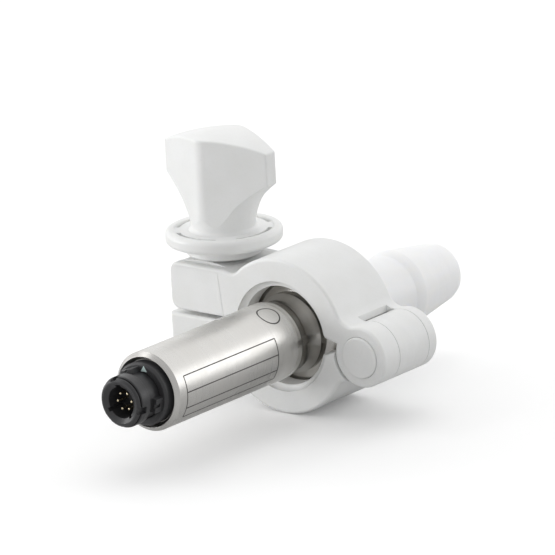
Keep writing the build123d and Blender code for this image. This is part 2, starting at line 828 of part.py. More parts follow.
# The knob is built on its own axis, with its zero height on the track, and then put in place
cap_z = washer_lift + washer_t + washer_run
slot_in_r = hub_r + slot_land
rim_in_r = slot_in_r + slot_w
rim_out_r = rim_in_r + rim_w
flare_r_span = flare_out_r - waist_r
flare_z_span = flare_out_z - waist_z
crown_drop = knob_top - knob_end_top
crown_r = (wing_half**2 + crown_drop**2) / (2 * crown_drop)
beyond = 2 * knob_top
with BuildPart() as wing_knob:
    # wings: a rhombus with rounded ridges and narrow flat ends
    with BuildSketch(Plane.XY.offset(web_top - 0.3)) as rhombus:
        with BuildLine():
            Polyline(
                (wing_half, -wing_end_half),
                (wing_half, wing_end_half),
                (0, ridge_half + ridge_crown),
                (-wing_half, wing_end_half),
                (-wing_half, -wing_end_half),
                (0, -ridge_half - ridge_crown),
                close=True,
            )
        make_face()
        fillet(rhombus.vertices().filter_by(lambda v: abs(v.X) < 0.1), ridge_round)
        fillet(rhombus.vertices().filter_by(lambda v: abs(v.X) > wing_half - 0.1), 0.5)
    extrude(amount=knob_top - web_top + 2)
    # crowned top
    with BuildSketch(Plane.XZ.offset(-beyond / 2)):
        with Locations((0, knob_top - crown_r)):
            Circle(crown_r)
        with Locations((0, knob_top - beyond / 2)):
            Rectangle(beyond, beyond, mode=Mode.INTERSECT)
    extrude(amount=beyond, mode=Mode.INTERSECT)
    # flared neck under the wings
    with BuildSketch(Plane.XZ):
        with BuildLine():
            Spline(
                (waist_r, waist_z),
                (waist_r + 0.057 * flare_r_span, waist_z + 0.232 * flare_z_span),
                (waist_r + 0.236 * flare_r_span, waist_z + 0.537 * flare_z_span),
                (waist_r + 0.567 * flare_r_span, waist_z + 0.778 * flare_z_span),
                (flare_out_r, flare_out_z),
                tangents=[(0, 1), (1, 0.62)],
            )
            Polyline(
                (flare_out_r, flare_out_z),
                (flare_out_r + 1, beyond),
                (0, beyond),
                (0, web_top - 0.5),
                (waist_r, web_top - 0.5),
                (waist_r, waist_z),
            )
        make_face()
    revolve(axis=Axis.Z, mode=Mode.INTERSECT)
    wing_top = wing_knob.faces().sort_by(Axis.Z)[-1]
    fillet(wing_top.edges(), 0.45)
    # hub, skirt, web and rim
    with BuildSketch(Plane.XZ):
        with BuildLine():
            Polyline((0, cap_z), (0, skirt_top), (waist_r - 0.15, skirt_top))
            Spline(
                (waist_r - 0.15, skirt_top),
                (waist_r + 0.55, (skirt_top + 2 * web_top) / 3),
                (skirt_r, web_top),
                tangents=[(0.1, -1), (1, -0.1)],
            )
            Polyline((skirt_r, web_top), (rim_in_r, web_top), (rim_in_r, rim_top - rim_in_round))
            RadiusArc((rim_in_r, rim_top - rim_in_round), (rim_in_r + rim_in_round, rim_top), rim_in_round)
            Line((rim_in_r + rim_in_round, rim_top), (rim_out_r - rim_out_round, rim_top))
            RadiusArc((rim_out_r - rim_out_round, rim_top), (rim_out_r, rim_top - rim_out_round), rim_out_round)
            Line((rim_out_r, rim_top - rim_out_round), (rim_out_r, rim_bottom + rim_out_round))
            RadiusArc((rim_out_r, rim_bottom + rim_out_round), (rim_out_r - rim_out_round, rim_bottom), rim_out_round)
            Line((rim_out_r - rim_out_round, rim_bottom), (rim_in_r + rim_in_round, rim_bottom))
            RadiusArc((rim_in_r + rim_in_round, rim_bottom), (rim_in_r, rim_bottom + rim_in_round), rim_in_round)
            Polyline(
                (rim_in_r, rim_bottom + rim_in_round),
                (rim_in_r, web_bottom),
                (hub_top_r, web_bottom),
                (hub_r, hub_bottom + hub_chamfer),
                (hub_r - hub_chamfer, hub_bottom),
                (washer_r + washer_gap, hub_bottom),
                (washer_r + washer_gap, cap_z),
                (0, cap_z),
            )
        make_face()
    revolve(axis=Axis.Z)
    # four arc slots through the web
    with BuildSketch(Plane.XY.offset(web_bottom - 0.5)):
        Circle(rim_in_r - 0.12)
        Circle(slot_in_r, mode=Mode.SUBTRACT)
        with PolarLocations((slot_in_r + rim_in_r) / 2, 4, start_angle=slot_turn - 45):
            Rectangle(3 * slot_w, 2 * rim_in_r * math.sin(math.radians(45 - slot_arc / 2)), mode=Mode.SUBTRACT)
    extrude(amount=web_top - web_bottom + 1, mode=Mode.SUBTRACT)
    # threaded bore for the swing bolt
    with BuildSketch(Plane.XY.offset(cap_z)):
        Circle(bolt_r + pin_run)
    extrude(amount=bore_top - cap_z, mode=Mode.SUBTRACT)
wing_knob.part.move(Location((knob_x, 0, track_top)))
wing_knob.part.label = "wing_knob"
export_step(wing_knob.part, "parts/wing_knob.step")
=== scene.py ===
import math

import bmesh
import bpy
from mathutils import Matrix, Vector


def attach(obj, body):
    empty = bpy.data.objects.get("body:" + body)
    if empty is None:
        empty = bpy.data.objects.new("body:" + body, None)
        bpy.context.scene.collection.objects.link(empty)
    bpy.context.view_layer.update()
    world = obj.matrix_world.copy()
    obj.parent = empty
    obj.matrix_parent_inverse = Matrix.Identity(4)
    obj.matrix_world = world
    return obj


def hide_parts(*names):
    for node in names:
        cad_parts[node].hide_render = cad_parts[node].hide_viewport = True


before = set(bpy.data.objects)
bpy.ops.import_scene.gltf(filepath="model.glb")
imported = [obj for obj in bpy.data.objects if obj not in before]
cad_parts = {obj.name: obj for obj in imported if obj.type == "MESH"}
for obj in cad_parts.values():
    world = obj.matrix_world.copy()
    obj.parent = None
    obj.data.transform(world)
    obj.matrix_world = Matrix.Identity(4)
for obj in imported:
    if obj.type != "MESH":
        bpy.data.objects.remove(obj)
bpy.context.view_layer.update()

MM = 0.001

# Places on the object, in millimetres, the same as in its solids
BODY_R = 8.25
FLANGE_Y = -53.6
HINGE_AT = (20.5, -1.45)
RING_HALF_W = 8.95
EAR_TOP = 11.7
TRACK_TOP = 12.7
BOLT_X = -21.0
BOLT_R = 3.2
BOLT_TOP = 28.5
LOWEST_Z = -16.55


# Materials

SCATTER_RADIUS = (1.0, 0.95, 0.85)
BEVEL_SAMPLES = 6


class Shader:
    """A material's node tree with short helpers.

    Patterns are in millimetres of the object's own frame.
    """

    def __init__(self, name):
        self.material = bpy.data.materials.new(name)
        self.material.use_nodes = True
        self.nodes = self.material.node_tree.nodes
        self.links = self.material.node_tree.links
        self.bsdf = self.nodes["Principled BSDF"]
        mapping = self.add("ShaderNodeMapping")
        mapping.inputs["Scale"].default_value = (1 / MM, 1 / MM, 1 / MM)
        self.link(self.add("ShaderNodeTexCoord").outputs["Object"], mapping.inputs["Vector"])
        self.place = mapping.outputs["Vector"]

    def add(self, kind, **values):
        node = self.nodes.new(kind)
        for key, value in values.items():
            setattr(node, key, value)
        return node

    def link(self, source, target):
        self.links.new(source, target)

    def set(self, **values):
        """Plain values on the main shader, named as its sockets with _ for a space."""
        for key, value in values.items():
            self.bsdf.inputs[key.replace("_", " ")].default_value = value

    def spread(self, stretch):
        """The place, stretched by a factor along each axis."""
        node = self.add("ShaderNodeVectorMath", operation="MULTIPLY")
        self.link(self.place, node.inputs[0])
        node.inputs[1].default_value = stretch
        return node.outputs["Vector"]

    def around_y(self, turns, fineness):
        """Coordinates (angle, along, radius) about the Y axis, for brushing and turning marks."""
        parts = self.add("ShaderNodeSeparateXYZ")
        self.link(self.place, parts.inputs["Vector"])
        x, y, z = (parts.outputs[axis] for axis in "XYZ")
        angle = self.math("ARCTAN2", z, x)
        square = self.math("ADD", self.math("POWER", x, 2.0), self.math("POWER", z, 2.0))
        radius = self.math("SQRT", square)
        joined = self.add("ShaderNodeCombineXYZ")
        self.link(self.math("MULTIPLY", angle, turns), joined.inputs["X"])
        self.link(self.math("MULTIPLY", y, fineness), joined.inputs["Y"])
        self.link(self.math("MULTIPLY", radius, fineness), joined.inputs["Z"])
        return joined.outputs["Vector"]

    def math(self, operation, first, second=None):
        node = self.add("ShaderNodeMath", operation=operation)
        for socket, value in zip(node.inputs, (first, second)):
            if value is None:
                continue
            if isinstance(value, (int, float)):
                socket.default_value = value
            else:
                self.link(value, socket)
        return node.outputs["Value"]

    def noise(self, vector, scale, detail=2.0, roughness=0.5):
        node = self.add("ShaderNodeTexNoise")
        self.link(vector, node.inputs["Vector"])
        node.inputs["Scale"].default_value = scale
        node.inputs["Detail"].default_value = detail
        node.inputs["Roughness"].default_value = roughness
        return node.outputs["Fac"]

    def between(self, source, low, high, source_low=0.3, source_high=0.7):
        """A pattern's range brought to low and high."""
        node = self.add("ShaderNodeMapRange")
        self.link(source, node.inputs["Value"])
        node.inputs["From Min"].default_value = source_low
        node.inputs["From Max"].default_value = source_high
        node.inputs["To Min"].default_value = low
        node.inputs["To Max"].default_value = high
        return node.outputs["Result"]

    def blend(self, share, first, second):
        """Two colours mixed by a pattern."""
        node = self.add("ShaderNodeMix", data_type="RGBA")
        self.link(share, node.inputs["Factor"])
        for socket, value in ((node.inputs["A"], first), (node.inputs["B"], second)):
            if isinstance(value, tuple):
                socket.default_value = (*value, 1.0)
            else:
                self.link(value, socket)
        return node.outputs["Result"]

    def colour(self, source):
        self.link(source, self.bsdf.inputs["Base Color"])

    def rough(self, source):
        self.link(source, self.bsdf.inputs["Roughness"])

    def bump(self, layers, edge=0.0):
        """Layers of (height, depth in mm), one on another.

        edge rounds sharp edges by that radius in mm.
        """
        normal = None
        if edge:
            bevel = self.add("ShaderNodeBevel", samples=BEVEL_SAMPLES)
            bevel.inputs["Radius"].default_value = edge * MM
            normal = bevel.outputs["Normal"]
        for height, depth in layers:
            node = self.add("ShaderNodeBump")
            node.inputs["Distance"].default_value = depth * MM
            self.link(height, node.inputs["Height"])
            if normal is not None:
                self.link(normal, node.inputs["Normal"])
            normal = node.outputs["Normal"]
        self.link(normal, self.bsdf.inputs["Normal"])

    def scatter(self, weight, reach):
        """Light let into the material, as deep as reach in mm."""
        self.set(
            Subsurface_Weight=weight,
            Subsurface_Radius=SCATTER_RADIUS,
            Subsurface_Scale=reach * MM,
        )


def moulded_plastic(name, light, dark, roughness, edge, grain=0.012, scatter=0.0, reach=0.6):
    """Moulded plastic: faint cloudiness from the flow, a fine matt grain and softened edges."""
    s = Shader(name)
    cloud = s.noise(s.place, scale=0.16, detail=3.0)
    speck = s.noise(s.place, scale=2.6)
    tone = s.blend(s.between(cloud, 0.0, 1.0), light, dark)
    specks = s.between(speck, 0.0, 0.35, source_low=0.55, source_high=0.8)
    s.colour(s.blend(specks, tone, tuple(0.93 * v for v in dark)))
    sheen = s.noise(s.place, scale=1.1, detail=3.0)
    s.rough(s.between(sheen, roughness - 0.05, roughness + 0.07))
    fine = s.noise(s.place, scale=7.0, detail=3.0, roughness=0.6)
    wave = s.noise(s.spread((0.35, 1.0, 0.35)), scale=0.5, detail=1.0)
    s.bump([(wave, 0.05), (fine, grain)], edge)
    s.set(IOR=1.5)
    if scatter:
        s.scatter(scatter, reach)
    return s.material


def turned_steel(name, tint, roughness, depth=0.0022, anisotropy=0.5):
    """Steel turned about the Y axis: fine rings, a few deeper ones, and faint handling haze."""
    s = Shader(name)
    fine = s.noise(s.around_y(turns=1.3, fineness=26.0), scale=1.0, detail=4.0, roughness=0.65)
    rings = s.noise(s.around_y(turns=0.25, fineness=4.5), scale=1.0, detail=3.0, roughness=0.6)
    haze = s.noise(s.place, scale=0.22, detail=3.0)
    worn = tuple(v * w for v, w in zip(tint, (0.95, 0.94, 0.92)))
    tone = s.blend(s.between(rings, 0.0, 1.0), tint, tuple(0.93 * v for v in tint))
    s.colour(s.blend(s.between(haze, 0.0, 0.4), tone, worn))
    rub = s.between(fine, roughness - 0.07, roughness + 0.08)
    s.rough(s.math("ADD", rub, s.between(haze, -0.02, 0.04)))
    s.bump([(rings, depth), (fine, depth)], edge=0.06)
    tangent = s.add("ShaderNodeTangent", direction_type="RADIAL", axis="Y")
    s.link(tangent.outputs["Tangent"], s.bsdf.inputs["Tangent"])
    s.set(Metallic=1.0, Anisotropic=anisotropy)
    return s.material


def plain_metal(name, tint, roughness):
    """Plated or drawn metal with slight unevenness."""
    s = Shader(name)
    patch = s.noise(s.place, scale=1.5, detail=3.0)
    s.colour(s.blend(s.between(patch, 0.0, 1.0), tint, tuple(0.9 * v for v in tint)))
    s.rough(s.between(patch, roughness - 0.05, roughness + 0.08))
    s.bump([(s.noise(s.place, scale=9.0), 0.004)], edge=0.04)
    s.set(Metallic=1.0)
    return s.material


def rubber(name, light, dark, roughness, scatter=0.0):
    """Moulded rubber or a matt mark: cloudy tone and a fine grain."""
    s = Shader(name)
    cloud = s.noise(s.place, scale=0.9, detail=3.0)
    s.colour(s.blend(s.between(cloud, 0.0, 1.0), light, dark))
    s.rough(s.between(cloud, roughness - 0.05, roughness + 0.06))
    s.bump([(s.noise(s.place, scale=11.0, detail=3.0), 0.01)], edge=0.05)
    if scatter:
        s.scatter(scatter, reach=0.8)
    return s.material


def circuit_board(name, mask, trace):
    """Solder mask over a woven board, with slightly lighter copper runs under it."""
    s = Shader(name)
    runs = s.noise(s.spread((0.6, 0.6, 2.4)), scale=1.2, detail=0.0)
    s.colour(s.blend(s.between(runs, 0.0, 1.0, source_low=0.5, source_high=0.53), mask, trace))
    weave = s.add("ShaderNodeTexChecker")
    s.link(s.place, weave.inputs["Vector"])
    weave.inputs["Scale"].default_value = 3.0
    s.rough(s.between(s.noise(s.place, scale=2.0), 0.28, 0.4))
    s.bump([(weave.outputs["Fac"], 0.004), (runs, 0.02)], edge=0.05)
    return s.material


def striped_wires(name, first, second):
    """Insulation of the leads, in two tones side by side."""
    s = Shader(name)
    split = s.noise(s.spread((1.0, 0.0, 1.0)), scale=0.8, detail=0.0)
    s.colour(s.blend(s.between(split, 0.0, 1.0, source_low=0.48, source_high=0.52), first, second))
    s.rough(s.between(s.noise(s.place, scale=3.0), 0.35, 0.5))
    s.bump([(s.noise(s.place, scale=12.0), 0.008)])
    return s.material


NYLON = (0.86, 0.865, 0.86), (0.825, 0.83, 0.82)
ADAPTER_WHITE = (0.97, 0.975, 0.975), (0.95, 0.96, 0.96)
CONNECTOR_BLACK = (0.036, 0.036, 0.038), (0.028, 0.028, 0.03)
INSERT_BLACK = (0.013, 0.013, 0.014), (0.01, 0.01, 0.01)
CHIP_BLACK = (0.03, 0.03, 0.032), (0.022, 0.022, 0.022)
CARRIER_GREY = (0.1, 0.1, 0.105), (0.08, 0.08, 0.085)
GASKET_WHITE = (0.78, 0.78, 0.76), (0.72, 0.72, 0.7)
SEAL_BLACK = (0.03, 0.03, 0.03), (0.022, 0.022, 0.022)
MARK_BROWN = (0.05, 0.048, 0.045), (0.075, 0.07, 0.066)
MARK_PALE = (0.6, 0.72, 0.7), (0.52, 0.66, 0.64)
BOARD_GREEN = (0.02, 0.12, 0.05), (0.04, 0.2, 0.08)
WIRE_TONES = (0.5, 0.04, 0.03), (0.03, 0.05, 0.35)

looks = {
    "clamp": moulded_plastic("clamp_nylon", *NYLON, 0.46, edge=0.16, scatter=0.18),
    "knob": moulded_plastic("knob_nylon", *NYLON, 0.4, edge=0.2, grain=0.009, scatter=0.18),
    "adapter": moulded_plastic(
        "adapter_plastic", *ADAPTER_WHITE, 0.34, edge=0.25, grain=0.004, scatter=0.9, reach=3.6
    ),
    "tube": turned_steel("brushed_steel", (0.66, 0.65, 0.63), 0.3),
    "ferrule": turned_steel(
        "polished_steel", (0.64, 0.625, 0.6), 0.17, depth=0.001, anisotropy=0.3
    ),
    "diaphragm": turned_steel("diaphragm_alloy", (0.7, 0.7, 0.69), 0.2, depth=0.001),
    "header": turned_steel("header_steel", (0.62, 0.61, 0.59), 0.3),
    "connector": moulded_plastic(
        "connector_plastic", *CONNECTOR_BLACK, 0.38, edge=0.12, grain=0.008
    ),
    "insert": moulded_plastic("insert_plastic", *INSERT_BLACK, 0.5, edge=0.08, grain=0.008),
    "contacts": plain_metal("contact_gold", (0.83, 0.72, 0.5), 0.22),
    "nut": plain_metal("nut_metal", (0.68, 0.64, 0.56), 0.3),
    "gasket": rubber("gasket_rubber", *GASKET_WHITE, 0.5, scatter=0.4),
    "seal": rubber("seal_rubber", *SEAL_BLACK, 0.55),
    "board": circuit_board("board_green", *BOARD_GREEN),
    "chips": moulded_plastic("chip_black", *CHIP_BLACK, 0.45, edge=0.05),
    "silicon": plain_metal("silicon", (0.25, 0.27, 0.3), 0.15),
    "carrier": moulded_plastic("carrier_plastic", *CARRIER_GREY, 0.5, edge=0.15),
    "wires": striped_wires("wire_red", *WIRE_TONES),
    "marking": rubber("etched_marking", *MARK_BROWN, 0.5),
    "triangle": rubber("key_marking", *MARK_PALE, 0.5),
}

worn_by = {
    "clamp_upper": "clamp",
    "clamp_lower": "clamp",
    "hinge_pin": "knob",
    "bolt_pin": "knob",
    "swing_bolt": "knob",
    "seat_washer": "knob",
    "wing_knob": "knob",
    "hose_adapter": "adapter",
    "housing_tube": "tube",
    "process_ferrule": "ferrule",
    "diaphragm": "diaphragm",
    "sensor_header": "header",
    "sensing_die": "silicon",
    "header_pins": "contacts",
    "sensor_board": "board",
    "main_board": "board",
    "board_chips": "chips",
    "board_carrier": "carrier",
    "lead_wires": "wires",
    "connector_shell": "connector",
    "connector_insert": "insert",
    "contact_pins": "contacts",
    "connector_oring": "seal",
    "connector_nut": "nut",
    "gasket": "gasket",
}
for node, look in worn_by.items():
    for part_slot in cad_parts[node].material_slots:
        part_slot.material = looks[look]


# Helpers for the pieces

SHARP_ABOVE = 32
WELD = 1e-6
WELD_SOLID = 1e-7
NEAR_AXIS = 0.001


def steps(first, last, count):
    """Even steps from first to last, both of them in it."""
    return [first + (last - first) * k / count for k in range(count + 1)]


def clamped(value):
    return min(1.0, max(0.0, value))


def filled(name, points, faces):
    """A mesh from points in mm and faces, with its normals outwards."""
    mesh = bpy.data.meshes.new(name)
    mesh.from_pydata([Vector(p) * MM for p in points], [], faces)
    mesh.validate()
    build = bmesh.new()
    build.from_mesh(mesh)
    bmesh.ops.recalc_face_normals(build, faces=build.faces)
    build.to_mesh(mesh)
    build.free()
    return mesh


def shade_smooth(mesh, smooth=True):
    for polygon in mesh.polygons:
        polygon.use_smooth = smooth


def linked(name, data):
    """An object in the scene."""
    item = bpy.data.objects.new(name, data)
    bpy.context.scene.collection.objects.link(item)
    return item


def make_piece(name, points, faces, look, body, slot, smooth=True):
    """A piece of its own from points in mm and faces, riding on a body."""
    mesh = filled(name, points, faces)
    shade_smooth(mesh, smooth)
    mesh.materials.append(looks[look])
    piece = linked(name, mesh)
    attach(piece, body)
    return piece


def reshaped(node, name, look, body):
    """A copy of a solid's mesh as a piece of its own, which then stands for the solid."""
    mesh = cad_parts[node].data.copy()
    mesh.name = name
    mesh.materials.clear()
    mesh.materials.append(looks[look])
    if "custom_normal" in mesh.attributes:
        mesh.attributes.remove(mesh.attributes["custom_normal"])
    build = bmesh.new()
    build.from_mesh(mesh)
    bmesh.ops.remove_doubles(build, verts=build.verts, dist=WELD_SOLID)
    build.to_mesh(mesh)
    build.free()
    shade_smooth(mesh)
    piece = linked(name, mesh)
    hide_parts(node)
    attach(piece, body)
    return piece


def carve(piece, points, faces):
    """Takes a closed form away from a piece."""
    mesh = filled("cutter", points, faces)
    mesh.materials.append(piece.data.materials[0])
    cutter = linked("cutter", mesh)
    cut = piece.modifiers.new("cut", "BOOLEAN")
    cut.operation = "DIFFERENCE"
    cut.solver = "EXACT"
    cut.object = cutter
    bpy.context.view_layer.update()
    evaluated = piece.evaluated_get(bpy.context.evaluated_depsgraph_get())
    shaped = bpy.data.meshes.new_from_object(evaluated)
    piece.modifiers.clear()
    piece.data = shaped
    bpy.data.objects.remove(cutter)
    shade_smooth(shaped)


def settle(piece):
    """Welds a piece's points, drops what has no area, and sets its sharp edges and normals."""
    build = bmesh.new()
    build.from_mesh(piece.data)
    bmesh.ops.remove_doubles(build, verts=build.verts, dist=WELD)
    bmesh.ops.dissolve_degenerate(build, edges=build.edges, dist=WELD)
    bmesh.ops.recalc_face_normals(build, faces=build.faces)
    build.to_mesh(piece.data)
    build.free()
    piece.data.set_sharp_from_angle(angle=math.radians(SHARP_ABOVE))
    even = piece.modifiers.new("even", "WEIGHTED_NORMAL")
    even.keep_sharp = True


def arc(centre, r, first, last, count):
    """Points of an arc in a profile, from its angles in degrees."""
    angles = [math.radians(a) for a in steps(first, last, count)]
    return [(centre[0] + r * math.cos(a), centre[1] + r * math.sin(a)) for a in angles]


def turned(profile, centre, count):
    """Points and faces of a closed profile of (y, r) turned about a line along Y.

    The line passes through centre, which is (x, z).
    """
    points, faces = [], []
    rows = len(profile)
    for k in range(count):
        turn = 2 * math.pi * k / count
        for y, r in profile:
            points.append((centre[0] + r * math.cos(turn), y, centre[1] + r * math.sin(turn)))
    for k in range(count):
        a, b = k * rows, (k + 1) % count * rows
        for i in range(rows):
            j = (i + 1) % rows
            faces.append((a + i, b + i, b + j, a + j))
    return points, faces


# Process ferrule, with the hollow turned behind the body's end and the sharp collar after it

SPIGOT_Y, SPIGOT_R, SPIGOT_BORE_R, BODY_END_Y = -16.5, 7.22, 5.93, -13.5
HOLLOW_Y, HOLLOW_R, HOLLOW_FLOOR = -12.2, 7.45, (-8.9, -8.4)
COLLAR_Y, COLLAR_R = -6.2, 8.45
FACE_Y, RIM_Y, SLOPE, FERRULE_R, FERRULE_EDGE = -0.6, -2.85, 0.36, 12.5, 0.08
BEAD_R, BEAD_GROOVE_R = 10.1, 0.75
SEAT_Y, SEAT_R, PORT_R, WELL_Y = -1.1, 6.9, 0.8, -3.0

profile = [
    (SPIGOT_Y, SPIGOT_BORE_R),
    (SPIGOT_Y, SPIGOT_R),
    (BODY_END_Y, SPIGOT_R),
    (BODY_END_Y, BODY_R),
]
for share in steps(0.0, 1.0, 10):
    y = HOLLOW_Y + share * (HOLLOW_FLOOR[0] - HOLLOW_Y)
    profile.append((y, BODY_R - math.sin(share * math.pi / 2) * (BODY_R - HOLLOW_R)))
for share in steps(0.0, 1.0, 10):
    y = HOLLOW_FLOOR[1] + share * (COLLAR_Y - HOLLOW_FLOOR[1])
    profile.append((y, HOLLOW_R + (1 - math.cos(share * math.pi / 2)) * (COLLAR_R - HOLLOW_R)))
profile += [
    (RIM_Y - SLOPE * (FERRULE_R - COLLAR_R), COLLAR_R),
    (RIM_Y, FERRULE_R - FERRULE_EDGE),
    (RIM_Y + FERRULE_EDGE, FERRULE_R),
    (FACE_Y - FERRULE_EDGE, FERRULE_R),
    (FACE_Y, FERRULE_R - FERRULE_EDGE),
]
profile += arc((FACE_Y, BEAD_R), BEAD_GROOVE_R, 90, 270, 12)
profile += [
    (FACE_Y, SEAT_R),
    (SEAT_Y, SEAT_R),
    (SEAT_Y, PORT_R),
    (WELL_Y, PORT_R),
    (WELL_Y, SPIGOT_BORE_R),
]
ferrule = make_piece(
    "process_ferrule_turned", *turned(profile, (0, 0), 160),
    "ferrule", "joint_base", "polished_steel"
)
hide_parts("process_ferrule")
settle(ferrule)


# Hinge pin, with its head a little proud of the lobe

PIN_R, PIN_HEAD_R, PIN_HEAD_T, PIN_HEAD_EDGE = 2.5, 4.33, 1.5, 0.4
PIN_TAIL_R, PIN_TAIL_T, PIN_TAIL_EDGE = 3.4, 0.9, 0.35
PIN_FRONT, PIN_BACK = -RING_HALF_W - 0.5, RING_HALF_W - 0.1

profile = [(PIN_FRONT, NEAR_AXIS), (PIN_FRONT, PIN_HEAD_R - PIN_HEAD_EDGE)]
profile += arc(
    (PIN_FRONT + PIN_HEAD_EDGE, PIN_HEAD_R - PIN_HEAD_EDGE), PIN_HEAD_EDGE, 180, 90, 6
)
profile += [
    (PIN_FRONT + PIN_HEAD_T, PIN_HEAD_R),
    (PIN_FRONT + PIN_HEAD_T, PIN_R),
    (PIN_BACK - PIN_TAIL_T, PIN_R),
    (PIN_BACK - PIN_TAIL_T, PIN_TAIL_R),
    (PIN_BACK - PIN_TAIL_EDGE, PIN_TAIL_R),
    (PIN_BACK, PIN_TAIL_R - PIN_TAIL_EDGE),
    (PIN_BACK, NEAR_AXIS),
]
pin = make_piece(
    "hinge_pin_headed", *turned(profile, HINGE_AT, 96), "knob", "upper_half", "clamp_nylon"
)
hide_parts("hinge_pin")
settle(pin)


# Swing bolt, with its coarse moulded thread cut by a helical form that fades in

THREAD_PITCH, THREAD_DEPTH, THREAD_START, THREAD_OVERRUN = 2.5, 0.6, 5.0, 1.5
THREAD_STEPS = 48
ROOT_HALF_W, MOUTH_HALF_W, MOUTH_CLEAR, ROOT_CLEAR = 0.3, 1.2, 0.5, 0.02

bolt = reshaped("swing_bolt", "swing_bolt_threaded", "knob", "bolt")
rounds = (BOLT_TOP + THREAD_OVERRUN - THREAD_START) / THREAD_PITCH
stations = int(rounds * THREAD_STEPS)
points, faces = [], []
for k in range(stations + 1):
    turn = 2 * math.pi * k / THREAD_STEPS
    z = THREAD_START + THREAD_PITCH * k / THREAD_STEPS
    mouth = BOLT_R + MOUTH_CLEAR
    root = BOLT_R + ROOT_CLEAR - THREAD_DEPTH * min(1.0, k / THREAD_STEPS)
    section = (
        (mouth, -MOUTH_HALF_W), (root, -ROOT_HALF_W), (root, ROOT_HALF_W), (mouth, MOUTH_HALF_W)
    )
    for r, dz in section:
        points.append((BOLT_X + r * math.cos(turn), r * math.sin(turn), z + dz))
for k in range(stations):
    a, b = 4 * k, 4 * (k + 1)
    for i in range(4):
        j = (i + 1) % 4
        faces.append((a + i, b + i, b + j, a + j))
faces += [(0, 1, 2, 3), tuple(4 * stations + i for i in (3, 2, 1, 0))]
carve(bolt, points, faces)
settle(bolt)


# Upper clamp half: the window over the other half's lobe is opened towards the ring, the ear's top
# stands a little higher beside the washer's track, and a fine line runs down the ear's front

WINDOW_X, WINDOW_Y, WINDOW_Z = (16.3, 19.4), (-3.66, 5.9), (2.6, 9.0)
EAR_RISE = 0.4
RISE_END_X, RISE_BLEND_X, RISE_CUTS = -11.6, 3.6, 9
RISE_LOW_Z, RISE_BLEND_Z, RISE_FACES_Z = 9.4, 1.4, 8.0
LINE_TOP, LINE_LOW = (-16.05, 12.2), (-14.85, 2.0)
LINE_HALF_W, LINE_DEPTH, LINE_CLEAR = 0.07, 0.12, 0.1

upper = reshaped("clamp_upper", "clamp_upper_finished", "clamp", "upper_half")
corners = [(x, y, z) for x in WINDOW_X for y in WINDOW_Y for z in WINDOW_Z]
box_faces = [(0, 1, 3, 2), (4, 6, 7, 5), (0, 4, 5, 1), (2, 3, 7, 6), (0, 2, 6, 4), (1, 5, 7, 3)]
carve(upper, corners, box_faces)

build = bmesh.new()
build.from_mesh(upper.data)
for x in steps(RISE_END_X - RISE_BLEND_X, RISE_END_X, RISE_CUTS):
    high = [f for f in build.faces if min(v.co.z for v in f.verts) > RISE_FACES_Z * MM]
    parts = list({v for f in high for v in f.verts}) + list({e for f in high for e in f.edges})
    bmesh.ops.bisect_plane(
        build, geom=parts + high, dist=1e-8, plane_co=(x * MM, 0, 0), plane_no=(1, 0, 0)
    )
build.to_mesh(upper.data)
build.free()
for vertex in upper.data.vertices:
    x, z = vertex.co.x / MM, vertex.co.z / MM
    share = clamped((RISE_END_X - x) / RISE_BLEND_X)
    share *= share * (3 - 2 * share)
    if z > EAR_TOP:
        share *= (TRACK_TOP - z) / (TRACK_TOP - EAR_TOP)
    else:
        share *= clamped((z - RISE_LOW_Z) / RISE_BLEND_Z)
    if share > 0:
        vertex.co.z += EAR_RISE * share * MM

prism = []
for x, z in (LINE_TOP, LINE_LOW):
    prism += [
        (x - LINE_HALF_W, -RING_HALF_W - LINE_CLEAR, z),
        (x + LINE_HALF_W, -RING_HALF_W - LINE_CLEAR, z),
        (x, -RING_HALF_W + LINE_DEPTH, z),
    ]
carve(upper, prism, [(0, 1, 2), (3, 5, 4), (0, 3, 4, 1), (1, 4, 5, 2), (2, 5, 3, 0)])
settle(upper)


# Upper face of the knob's disc, level with its rim but for four narrow arc slots

DISC_LOW, DISC_TOP = TRACK_TOP + 4.3, TRACK_TOP + 5.45
DISC_IN_R, SLOT_IN_R, SLOT_OUT_R = 7.3, 9.3, 10.4
SLOT_ARC, SLOT_TURN, SLOT_STEPS, BRIDGE_STEPS = 65.0, 86.6, 26, 10

angles = []
for quarter in range(4):
    start = SLOT_TURN + 90 * quarter - SLOT_ARC / 2
    angles += [(a, True) for a in steps(start, start + SLOT_ARC, SLOT_STEPS)[:-1]]
    angles += [(a, False) for a in steps(start + SLOT_ARC, start + 90, BRIDGE_STEPS)[:-1]]
points, faces = [], []
for a, _ in angles:
    turn = math.radians(a)
    for r in (DISC_IN_R, SLOT_IN_R, SLOT_OUT_R):
        for z in (DISC_LOW, DISC_TOP):
            points.append((BOLT_X + r * math.cos(turn), r * math.sin(turn), z))
for k, (_, slotted) in enumerate(angles):
    p, q = 6 * k, 6 * ((k + 1) % len(angles))
    faces += [(p + 1, p + 3, q + 3, q + 1), (p, q, q + 2, p + 2), (p, p + 1, q + 1, q)]
    if slotted:
        faces.append((p + 2, q + 2, q + 3, p + 3))
    else:
        faces += [
            (p + 3, p + 5, q + 5, q + 3),
            (p + 2, q + 2, q + 4, p + 4),
            (p + 4, q + 4, q + 5, p + 5),
        ]
    if slotted != angles[k - 1][1]:
        faces.append((p + 2, p + 3, p + 5, p + 4))
disc = make_piece("knob_disc", points, faces, "knob", "knob", "clamp_nylon")
settle(disc)


# Marks on the body: thin closed bands that lie a hair above the steel

BAND_LIFT, BAND_SINK = 0.012, 0.03


def on_body(y, degrees, r):
    """A point by its place along the body, its angle from +X towards +Z and its radius."""
    turn = math.radians(degrees)
    return (r * math.cos(turn), y, r * math.sin(turn))


